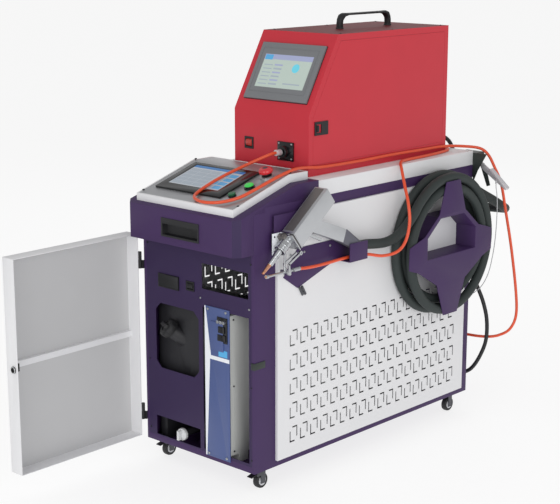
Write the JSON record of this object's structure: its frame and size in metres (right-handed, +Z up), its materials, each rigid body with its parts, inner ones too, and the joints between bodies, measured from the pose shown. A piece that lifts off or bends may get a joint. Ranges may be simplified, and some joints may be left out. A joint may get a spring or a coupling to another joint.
{
  "type": "handheld laser welding machine",
  "caption": "Wheeled laser welding machine with a sloping touchscreen console, wire feeder on top, coiled hose, welding gun in a side holder, open front door and cooling unit inside.",
  "frame": {"origin": "on the floor under the centre of the cabinet's footprint", "axes": "+X to the machine's right side with the hose hanger, +Y to the rear panel, +Z up; the console and the front door face -Y"},
  "size_m": [0.672, 1.8088, 1.412],
  "materials": {
    "purple_paint": "fine texture, matt",
    "white_paint": "satin",
    "red_paint": "satin",
    "brushed_plate": "brushed",
    "bare_metal": "satin",
    "steel": "satin",
    "black_plastic": "matt",
    "grey_plastic": "matt",
    "blue_panel": "satin",
    "red_plastic": "gloss",
    "green_plastic": "gloss",
    "dark_green_plastic": "gloss",
    "white_plastic": "matt",
    "tyre_rubber": "matt",
    "hose_rubber": "matt",
    "orange_tube": "satin",
    "brass": "satin",
    "copper_wire": "wound wire"
  },
  "bodies": {
    "machine": {"cabinet_frame": "purple_paint", "top_cover": "white_paint", "front_plate": "purple_paint", "side_panel_right": "white_paint", "side_panel_left": "white_paint", "rear_panel": "purple_paint", "console_shell": "purple_paint", "console_rim": "white_paint", "console_plate": "brushed_plate", "touchscreen": "black_plastic", "pull_handle": "black_plastic", "water_tank": "black_plastic", "thermostat": "black_plastic", "laser_source": "white_paint", "laser_front_panel": "blue_panel", "control_box": "steel", "chiller_unit": "bare_metal", "door_hinges": "purple_paint", "rear_forks": "steel", "feeder_shell": "red_paint", "feeder_handle": "black_plastic", "feeder_screen": "grey_plastic", "wire_outlet": "brass", "feed_motor": "steel", "gun_holder": "purple_paint", "gun_body": "bare_metal", "gun_nozzle": "bare_metal", "hose_hanger": "purple_paint", "hose_coil": "hose_rubber", "hose_ends": "hose_rubber", "cable_hook": "steel", "earth_clamp": "steel", "wire_tube": "orange_tube", "feeder_cable": "black_plastic", "earth_lead": "white_plastic"},
    "emergency_stop": {"emergency_stop": "red_plastic"},
    "start_button": {"start_button": "green_plastic"},
    "reset_button": {"reset_button": "dark_green_plastic"},
    "filler_cap": {"filler_cap": "black_plastic"},
    "drain_cap": {"drain_cap": "white_plastic"},
    "chiller_switch": {"chiller_switch": "black_plastic"},
    "cooling_fan": {"cooling_fan": "black_plastic"},
    "front_door": {"front_door": "white_paint"},
    "door_lock": {"door_lock": "black_plastic"},
    "front_left_fork": {"front_left_fork": "steel"},
    "front_right_fork": {"front_right_fork": "steel"},
    "front_left_wheel": {"front_left_wheel": "tyre_rubber"},
    "front_right_wheel": {"front_right_wheel": "tyre_rubber"},
    "rear_left_wheel": {"rear_left_wheel": "tyre_rubber"},
    "rear_right_wheel": {"rear_right_wheel": "tyre_rubber"},
    "front_left_pedal": {"front_left_pedal": "black_plastic"},
    "front_right_pedal": {"front_right_pedal": "black_plastic"},
    "feeder_door": {"feeder_door": "red_paint"},
    "feeder_latch": {"feeder_latch": "black_plastic"},
    "feeder_switch": {"feeder_switch": "red_plastic"},
    "wire_spool": {"wire_spool": "copper_wire"},
    "drive_roller": {"drive_roller": "steel"},
    "pressure_roller": {"pressure_roller": "steel"},
    "gun_trigger": {"gun_trigger": "bare_metal"},
    "clamp_jaw": {"clamp_jaw": "steel"}
  },
  "joints": [
    {"name": "emergency_stop_press", "type": "slide", "parent": "machine", "child": "emergency_stop", "axis": [0, 0.2957, -0.9553], "range_m": [0, 0.005], "stiffness_N_per_m": 2000},
    {"name": "start_button_press", "type": "slide", "parent": "machine", "child": "start_button", "axis": [0, 0.2957, -0.9553], "range_m": [0, 0.004], "stiffness_N_per_m": 1000},
    {"name": "reset_button_press", "type": "slide", "parent": "machine", "child": "reset_button", "axis": [0, 0.2957, -0.9553], "range_m": [0, 0.003], "stiffness_N_per_m": 1000},
    {"name": "filler_cap_turn", "type": "hinge", "parent": "machine", "child": "filler_cap", "pos_m": [-0.11, -0.52, 0.43], "axis": [-0.3596, -0.6764, 0.6428], "range_deg": [0, 360]},
    {"name": "drain_cap_turn", "type": "hinge", "parent": "machine", "child": "drain_cap", "pos_m": [-0.089, -0.528, 0.112], "axis": [0, -1, 0], "range_deg": [0, 360]},
    {"name": "chiller_switch_flip", "type": "hinge", "parent": "machine", "child": "chiller_switch", "pos_m": [-0.03, -0.5423, 0.611], "axis": [1, 0, 0], "range_deg": [-16, 0]},
    {"name": "cooling_fan_spin", "type": "hinge", "parent": "machine", "child": "cooling_fan", "pos_m": [-0.173, 0.3, 0.275], "axis": [1, 0, 0], "continuous": true},
    {"name": "front_door_hinge", "type": "hinge", "parent": "machine", "child": "front_door", "pos_m": [-0.25, -0.556, 0.412], "axis": [0, 0, 1], "range_deg": [-25, 90]},
    {"name": "door_lock_turn", "type": "hinge", "parent": "front_door", "child": "door_lock", "pos_m": [-0.267, -1.046, 0.407], "axis": [0, 1, 0], "range_deg": [0, 90]},
    {"name": "front_left_swivel", "type": "hinge", "parent": "machine", "child": "front_left_fork", "pos_m": [-0.205, -0.464, 0.06], "axis": [0, 0, 1], "continuous": true},
    {"name": "front_left_roll", "type": "hinge", "parent": "front_left_fork", "child": "front_left_wheel", "pos_m": [-0.205, -0.486, 0.025], "axis": [1, 0, 0], "continuous": true},
    {"name": "rear_left_roll", "type": "hinge", "parent": "machine", "child": "rear_left_wheel", "pos_m": [-0.205, 0.486, 0.025], "axis": [1, 0, 0], "continuous": true},
    {"name": "front_left_brake", "type": "hinge", "parent": "front_left_fork", "child": "front_left_pedal", "pos_m": [-0.205, -0.508, 0.049], "axis": [1, 0, 0], "range_deg": [0, 12]},
    {"name": "front_right_swivel", "type": "hinge", "parent": "machine", "child": "front_right_fork", "pos_m": [0.205, -0.464, 0.06], "axis": [0, 0, 1], "continuous": true},
    {"name": "front_right_roll", "type": "hinge", "parent": "front_right_fork", "child": "front_right_wheel", "pos_m": [0.205, -0.486, 0.025], "axis": [1, 0, 0], "continuous": true},
    {"name": "rear_right_roll", "type": "hinge", "parent": "machine", "child": "rear_right_wheel", "pos_m": [0.205, 0.486, 0.025], "axis": [1, 0, 0], "continuous": true},
    {"name": "front_right_brake", "type": "hinge", "parent": "front_right_fork", "child": "front_right_pedal", "pos_m": [0.205, -0.508, 0.049], "axis": [1, 0, 0], "range_deg": [0, 12]},
    {"name": "feeder_door_hinge", "type": "hinge", "parent": "machine", "child": "feeder_door", "pos_m": [0.177, 0.451, 1.162], "axis": [0, 0, 1], "range_deg": [0, 110]},
    {"name": "feeder_latch_slide", "type": "slide", "parent": "feeder_door", "child": "feeder_latch", "axis": [0, 1, 0], "range_m": [0, 0.008], "stiffness_N_per_m": 200},
    {"name": "feeder_switch_flip", "type": "hinge", "parent": "machine", "child": "feeder_switch", "pos_m": [-0.075, -0.2293, 1.017], "axis": [1, 0, 0], "range_deg": [-16, 0]},
    {"name": "wire_spool_spin", "type": "hinge", "parent": "machine", "child": "wire_spool", "pos_m": [0.084, 0.2, 1.15], "axis": [1, 0, 0], "continuous": true},
    {"name": "drive_roller_spin", "type": "hinge", "parent": "machine", "child": "drive_roller", "pos_m": [0.084, -0.13, 0.9848], "axis": [1, 0, 0], "continuous": true},
    {"name": "pressure_roller_spin", "type": "hinge", "parent": "machine", "child": "pressure_roller", "pos_m": [0.084, -0.13, 1.0252], "axis": [1, 0, 0], "continuous": true},
    {"name": "gun_trigger_press", "type": "hinge", "parent": "machine", "child": "gun_trigger", "pos_m": [0.282, -0.36, 0.79], "axis": [1, 0, 0], "range_deg": [0, 5], "stiffness_Nm_per_rad": 2},
    {"name": "clamp_jaw_open", "type": "hinge", "parent": "machine", "child": "clamp_jaw", "pos_m": [0.262, 0.579, 0.88], "axis": [0, -1, 0], "range_deg": [0, 12], "stiffness_Nm_per_rad": 5}
  ],
  "couplings": [
    {"joint": "drive_roller_spin", "follows": "wire_spool_spin", "ratio": -4.1},
    {"joint": "pressure_roller_spin", "follows": "wire_spool_spin", "ratio": 4.1}
  ]
}
